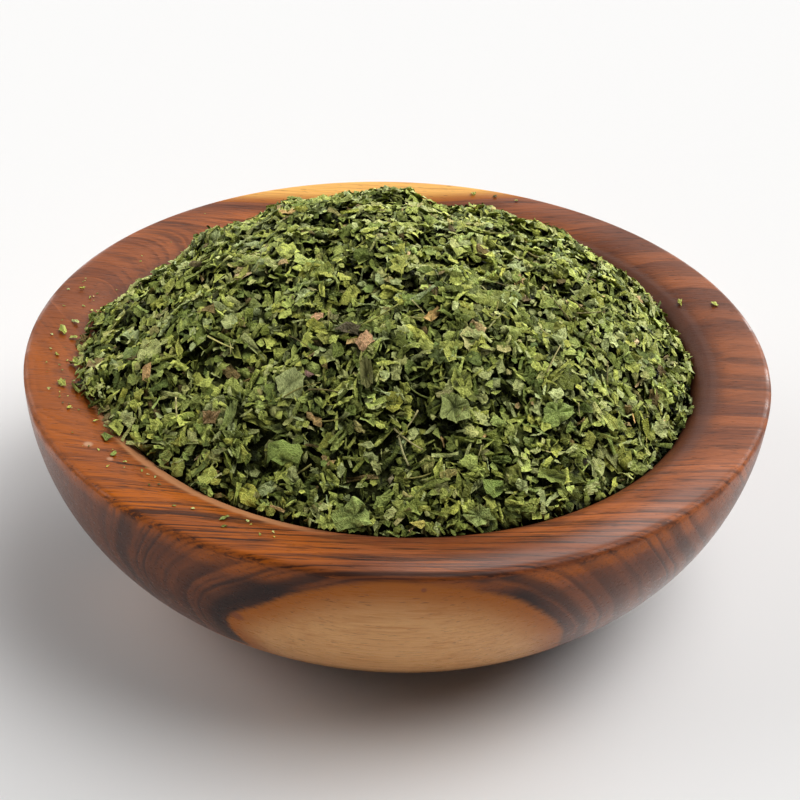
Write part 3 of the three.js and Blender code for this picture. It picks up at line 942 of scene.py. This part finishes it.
class LeafStore:
    def __init__(self):
        self.points = []
        self.faces = []
        self.colours = []
        self.places = []
        self.rims = []  # which points lie on a flake's outline
        self.count = 0
        self.triangles = 0

    def add(self, points, faces, colour, place, rim):
        self.points.append(points)
        self.rims.append(rim)
        self.faces.append(faces + self.count)
        self.colours.append(colour)
        self.places.append(place)
        self.count += len(points)
        self.triangles += len(faces)

    # painted shade: leaf down in the gaps is darkened the deeper it lies
    def paintGapShade(self, ground):
        cover = ground.closed()
        for points, colours in zip(self.points, self.colours):
            row, column = ground.cells(points[:, 0], points[:, 1])
            down = np.clip((cover[row, column] - points[:, 2]) / flakes["gapDepth"], 0, 1)
            colours[:, :3] *= 1 - np.outer(down * down * (3 - 2 * down), flakes["paintedGapShade"])

    def piece(self, name, material, nodes):
        points = np.concatenate(self.points) * mm
        faces = np.concatenate(self.faces)
        mesh = bpy.data.meshes.new(name)
        mesh.vertices.add(len(points))
        mesh.vertices.foreach_set("co", points.ravel())
        mesh.loops.add(faces.size)
        mesh.loops.foreach_set("vertex_index", faces.ravel())
        mesh.polygons.add(len(faces))
        mesh.polygons.foreach_set("loop_start", np.arange(len(faces)) * 3)
        mesh.update(calc_edges=True)
        # each side of a flake is shaded as one bent sheet, with a crisp edge round it
        ends = np.empty(len(mesh.edges) * 2, int)
        mesh.edges.foreach_get("vertices", ends)
        onRim = np.concatenate(self.rims)[ends].reshape(-1, 2).all(1)
        sharp = mesh.attributes.new("sharp_edge", "BOOLEAN", "EDGE")
        sharp.data.foreach_set("value", onRim)
        colour = mesh.attributes.new("leafColour", "FLOAT_COLOR", "POINT")
        colour.data.foreach_set("color", np.concatenate(self.colours).astype(np.float32).ravel())
        place = mesh.attributes.new("leafPlace", "FLOAT_VECTOR", "POINT")
        place.data.foreach_set("vector", np.concatenate(self.places).astype(np.float32).ravel())
        mesh.materials.append(material)
        piece = bpy.data.objects.new(name, mesh)
        scene.collection.objects.link(piece)
        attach(piece, "root")
        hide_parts(*nodes)
        print(name, "has", len(faces), "triangles")


def kindColour(rng):
    pick = rng.random()
    for share, colour, vary in leafKinds:
        pick -= share
        if pick < 0:
            break
    bright = math.exp(min(rng.normal(0, vary), flakes["mostBright"]))
    warm = rng.normal(0, 0.04)
    red, green, blue = tint(*colour)
    return np.array([red * bright * (1 + warm), green * bright, blue * bright * (1 - warm * 2), 1])


# A flake's closed body, from its bent sheet in the scene's axes
def flakeBody(pattern, sheet, normal):
    body = np.concatenate([sheet, sheet[:pattern["inner"]]])
    half = flakes["thickness"] / 2
    body[:pattern["inner"]] += normal * half
    body[len(sheet):] -= normal * half
    return body


def addFlake(store, rng, pattern, size, turn, centre, colour):
    sheet = pattern["sheet"] * size @ turn.T + centre
    body = flakeBody(pattern, sheet, turn[:, 2])
    flat = np.concatenate([pattern["flat"], pattern["flat"][:pattern["inner"]]]) * np.max(size)
    place = np.concatenate([flat, np.zeros((len(flat), 1))], 1) + rng.uniform(-200, 200, 3)
    colours = np.outer(rng.uniform(*flakes["toneSpread"], len(body)), colour)
    colours[:, 3] = 1
    rim = np.arange(len(body))
    rim = (rim >= pattern["inner"]) & (rim < len(sheet))
    store.add(body, pattern["faces"], colours, place, rim)


# Turn that lays a flake on the heap's slope at a place
def slopeTurn(x, y):
    slopeX = (heapTop(x + 2, y) - heapTop(x - 2, y)) / 4
    slopeY = (heapTop(x, y + 2) - heapTop(x, y - 2)) / 4
    return turnMatrix(slopeY, -slopeX, math.atan(math.hypot(slopeX, slopeY)), 0)


def heapFlakes():
    rng = np.random.default_rng(flakes["seed"])
    small = [tornPattern(rng, smallOutline(rng), False, anyCurl(rng)) for _ in range(flakes["patterns"])]
    large = [tornPattern(rng, largeOutline(rng), True, anyCurl(rng)) for _ in range(flakes["patterns"] // 2)]
    ground = Ground()
    stores = [LeafStore()]
    placed = 0
    for _ in range(flakes["count"]):
        size = float(np.clip(flakes["median"] * math.exp(rng.normal(0, flakes["spread"])),
                             flakes["smallest"], flakes["largest"]))
        shapes = large if size > flakes["largeFrom"] else small
        pattern = shapes[rng.integers(len(shapes))]
        angle = rng.uniform(0, 2 * math.pi, flakes["places"])
        radius = heapEdge(angle) * np.sqrt(rng.uniform(0, 1, flakes["places"]))
        x = radius * np.cos(angle)
        y = radius * np.sin(angle)
        row, column = ground.cells(x, y)
        lack = ground.target[row, column] - ground.height[row, column]
        best = int(np.argmax(lack))
        if lack[best] < flakes["emptyFrom"]:
            continue
        x, y = x[best], y[best]
        surface = slopeTurn(x, y)
        for _ in range(flakes["tries"]):
            lean = math.radians(rng.normal(0, flakes["lean"]))
            if rng.random() < flakes["steepShare"]:
                lean = math.radians(rng.uniform(*flakes["steepLean"]))
            heading = rng.uniform(0, 2 * math.pi)
            spin = rng.uniform(0, wholeTurn)
            turn = surface @ turnMatrix(math.cos(heading), math.sin(heading), lean, spin)
            sheet = pattern["sheet"] @ turn.T * size + (x, y, 0)
            shape = pattern["samples"] @ sheet
            height, row, column = ground.rest(shape, flakes["support"])
            top = shape[:, 2] + height
            reach = np.hypot(shape[:, 0], shape[:, 1])
            limit = heapEdge(np.arctan2(shape[:, 1], shape[:, 0])) + flakes["overhang"]
            proud = (top - np.maximum(ground.target[row, column], ground.wood[row, column])).max()
            if proud < flakes["proud"] and (reach < limit).all():
                break
        else:
            continue
        np.maximum.at(ground.height, (row, column), top)
        if stores[-1].triangles > flakes["piecesOf"]:
            stores.append(LeafStore())
        addFlake(stores[-1], rng, pattern, size, turn, np.array([x, y, height]), kindColour(rng))
        placed += 1
    print("flakes laid:", placed)
    return stores, ground


# Leaves that stand out in the photograph: (x, y, length across, length up the slope, turn in degrees,
# outline, curl, colour)
markedLook = {"seed": 77, "enlarge": 1.05, "lean": (2, 12), "support": 0.93, "brighten": 1.3}
markedLeaves = [
    (-8, -38, 4.4, 5.4, 5, raggedOutline, 0.5, (204, 164, 122)),
    (-58, -30, 2.6, 4.9, -8, nickedOutline, 0.9, (198, 160, 104)),
    (-42, -46, 4.6, 3.4, 10, raggedOutline, 0.3, (184, 154, 108)),
    (-12, -33, 6.2, 4.2, 20, raggedOutline, 1.2, (100, 92, 68)),
    (-24, -44, 6.8, 7.4, 0, raggedOutline, 0.4, (176, 186, 122)),
    (-25, -56, 9.0, 5.6, -12, toothedOutline, -1.5, (146, 166, 84)),
    (6, -72, 3.8, 2.0, 0, shardOutline, 0.2, (196, 186, 96)),
    (-8, -71, 7.6, 7.0, 30, raggedOutline, 0.3, (160, 178, 98)),
    (19, -69, 7.4, 5.0, 0, raggedOutline, 0.5, (166, 182, 106)),
    (36, -45, 7.6, 5.6, 12, raggedOutline, 0.6, (152, 172, 92)),
    (13, -50, 8.0, 7.0, -20, raggedOutline, 0.8, (158, 170, 100)),
    (-7, -47, 2.8, 7.4, 8, toothedOutline, 1.4, (128, 128, 76)),
    (-37, -47, 3.6, 7.2, -15, toothedOutline, 0.7, (140, 154, 84)),
    (35, -57, 6.6, 3.2, 0, toothedOutline, 0.4, (162, 178, 92)),
    (22, -63, 6.6, 4.0, 15, nickedOutline, -0.5, (136, 158, 78)),
    (-69, 6, 5.0, 3.0, 0, nickedOutline, 0.3, (148, 152, 76)),
    (-51, -13, 4.0, 4.4, 0, nickedOutline, 0.4, (160, 172, 104)),
    (-20, -42, 2.2, 1.8, 0, shardOutline, 0.2, (176, 138, 128)),
    (-19, -28, 2.8, 2.2, 0, shardOutline, 0.3, (216, 172, 130)),
]


def layMarkedLeaves(store, ground):
    rng = np.random.default_rng(markedLook["seed"])
    for x, y, across, along, turned, outline, curl, colour in markedLeaves:
        pattern = tornPattern(rng, outline(rng), True, curl)
        size = np.array([across, along, (across + along) / 2]) * markedLook["enlarge"]
        lean = math.radians(rng.uniform(*markedLook["lean"]))
        turn = slopeTurn(x, y) @ turnMatrix(1, 0, lean, math.radians(turned))
        extent = np.ptp(pattern["flat"], axis=0)
        size[:2] = size[:2] / extent
        shape = pattern["samples"] @ (pattern["sheet"] * size @ turn.T + (x, y, 0))
        height, row, column = ground.rest(shape, markedLook["support"])
        np.maximum.at(ground.height, (row, column), shape[:, 2] + height)
        shade = np.array([*(c * markedLook["brighten"] for c in tint(*colour)), 1])
        addFlake(store, rng, pattern, size, turn, np.array([x, y, height]), shade)
    print("marked leaves laid:", len(markedLeaves))


stems = {
    "seed": 314,
    "count": 50,
    "inset": 7,  # how far inside the heap's edge they lie
    "length": (3, 9),
    "radius": (0.11, 0.24),
    "support": 0.75,
    "rings": 7,
    "colours": [(176, 172, 106), (150, 146, 80), (128, 118, 72), (192, 184, 126), (124, 136, 66)],
    "marked": [  # (x, y, length, turn in degrees, colour)
        (-41, -28, 7.5, -35, (204, 200, 124)), (-6, -30, 13, 28, (150, 152, 76)),
        (22, -26, 8, 62, (176, 176, 112)), (-34, -6, 9, 80, (126, 128, 66)),
        (2, -58, 7, -72, (186, 182, 128)),
    ],
}


# Thin bent stem: six-sided, closed at both ends
def layStem(store, ground, rng, x, y, length, radius, heading, colour):
    rings = stems["rings"]
    along = np.linspace(-0.5, 0.5, rings) * length
    bend = rng.normal(0, 0.05) * length
    flatBend = bend * np.cos(along / length * math.pi)
    rise = rng.uniform(0, 0.08) * length * (along / length * 2) ** 2
    spine = np.stack([along, flatBend, rise], 1)
    turn = slopeTurn(x, y) @ turnMatrix(0, 1, math.radians(rng.normal(0, 7)), heading)
    spine = spine @ turn.T + (x, y, 0)
    height, row, column = ground.rest(spine - (0, 0, radius), stems["support"])
    spine[:, 2] += height
    np.maximum.at(ground.height, (row, column), spine[:, 2])
    ahead = np.gradient(spine, axis=0)
    ahead /= np.linalg.norm(ahead, axis=1)[:, None]
    side = np.cross(ahead, (0, 0, 1.0))
    side /= np.linalg.norm(side, axis=1)[:, None]
    above = np.cross(side, ahead)
    taper = radius * np.linspace(1, rng.uniform(0.5, 0.9), rings)
    points = []
    for corner in range(6):
        turned = corner * math.pi / 3
        points.append(spine + (side * math.cos(turned) + above * math.sin(turned)) * taper[:, None])
    points = np.stack(points, 1).reshape(-1, 3)
    points = np.concatenate([points, spine[:1], spine[-1:]])
    start = rings * 6
    faces = []
    for corner in range(6):
        after = (corner + 1) % 6
        faces.append((start, after, corner))
        faces.append((start + 1, start - 6 + corner, start - 6 + after))
        for ring in range(rings - 1):
            low = ring * 6
            faces.append((low + corner, low + after, low + 6 + after))
            faces.append((low + corner, low + 6 + after, low + 6 + corner))
    place = np.concatenate([points[:, :2] * 0.4, np.zeros((len(points), 1))], 1) + rng.uniform(-200, 200, 3)
    bright = math.exp(rng.normal(0, 0.12))
    shade = np.array([*(c * bright for c in tint(*colour)), 1])
    store.add(points, np.array(faces), np.tile(shade, (len(points), 1)), place, np.zeros(len(points), bool))


def layStems(store, ground):
    rng = np.random.default_rng(stems["seed"])
    for _ in range(stems["count"]):
        angle = rng.uniform(0, 2 * math.pi)
        radius = (float(heapEdge(angle)) - stems["inset"]) * math.sqrt(rng.uniform())
        colour = stems["colours"][rng.integers(len(stems["colours"]))]
        layStem(store, ground, rng, radius * math.cos(angle), radius * math.sin(angle),
                rng.uniform(*stems["length"]), rng.uniform(*stems["radius"]), rng.uniform(0, wholeTurn),
                colour)
    for x, y, length, turned, colour in stems["marked"]:
        layStem(store, ground, rng, x, y, length, max(stems["radius"]), math.radians(turned), colour)
    print("stems laid:", stems["count"] + len(stems["marked"]))


crumbs = {
    "places": [  # (x, y, length): the loose flakes to be seen on the rim
        (-82.9, 2.5, 4.6), (-82.7, -8.2, 2.6), (-79.5, -21, 3.9), (-81, 23.3, 2.7), (-66, -42.1, 3.9),
        (-63.6, -49.2, 3), (-36.6, -71.7, 2.6), (80.5, 28.5, 2.8), (-79.8, 0.4, 2.9), (-80.5, 7.6, 3.2),
        (-84.5, 22.8, 1.2), (-79.7, 15.7, 1.2), (-76.3, -31.2, 2), (-69.6, -35.4, 1.6),
        (-60.5, -51.6, 1.3), (-56.4, -54.6, 1.3), (-53.3, -56.6, 1.5), (-47.7, -68.3, 1.1),
        (-43.5, -68.8, 1.1), (-36.1, -75.2, 1.6), (-31.3, -71.9, 1.1), (71.9, 29.9, 3.4), (19, 84, 2.2),
        (25, 83, 1.7), (31, 81, 1.7),
    ],
    "seed": 5,
    "lean": (0, 9),  # degrees
    "dust": 60,  # smaller ones round them
    "dustSize": (0.4, 1.2),
    "dustAngle": (3.45, 0.5),  # where most of it lies, and how wide it is spread
    "dustRadius": (77, 86),
}


def layCrumbs(leaf):
    rng = np.random.default_rng(crumbs["seed"])
    store = LeafStore()
    ground = Ground()
    ground.height = np.full_like(ground.height, nowhere)
    places = list(crumbs["places"])
    for _ in range(crumbs["dust"]):
        angle = rng.normal(*crumbs["dustAngle"])
        radius = rng.uniform(*crumbs["dustRadius"])
        places.append((radius * math.cos(angle), radius * math.sin(angle), rng.uniform(*crumbs["dustSize"])))
    for x, y, size in places:
        pattern = tornPattern(rng, nickedOutline(rng), size > 1.5, rng.normal(0, 0.5))
        axis = (rng.normal(), rng.normal())
        turn = turnMatrix(*axis, math.radians(rng.uniform(*crumbs["lean"])), rng.uniform(0, wholeTurn))
        shape = pattern["samples"] @ (pattern["sheet"] @ turn.T * size + (x, y, 0))
        height, row, column = ground.rest(shape, 1)
        addFlake(store, rng, pattern, size * 1.05, turn, np.array([x, y, height]), kindColour(rng))
    store.piece("rim_crumbs", leaf, [f"rim_flake_{number}" for number in range(1, 9)])


setCamera(Vector((0, 0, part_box("bowl")[1].z)))
lightScene()
layFloor()
print("stage set")
makeBowl()
makePackedLeaf()
leaf = leafFinish()
stores, ground = heapFlakes()
layMarkedLeaves(stores[-1], ground)
layStems(stores[-1], ground)
for number, store in enumerate(stores):
    store.paintGapShade(ground)
    store.piece(f"leaf_flakes_{number + 1}", leaf, ["parsley_heap"])
layCrumbs(leaf)
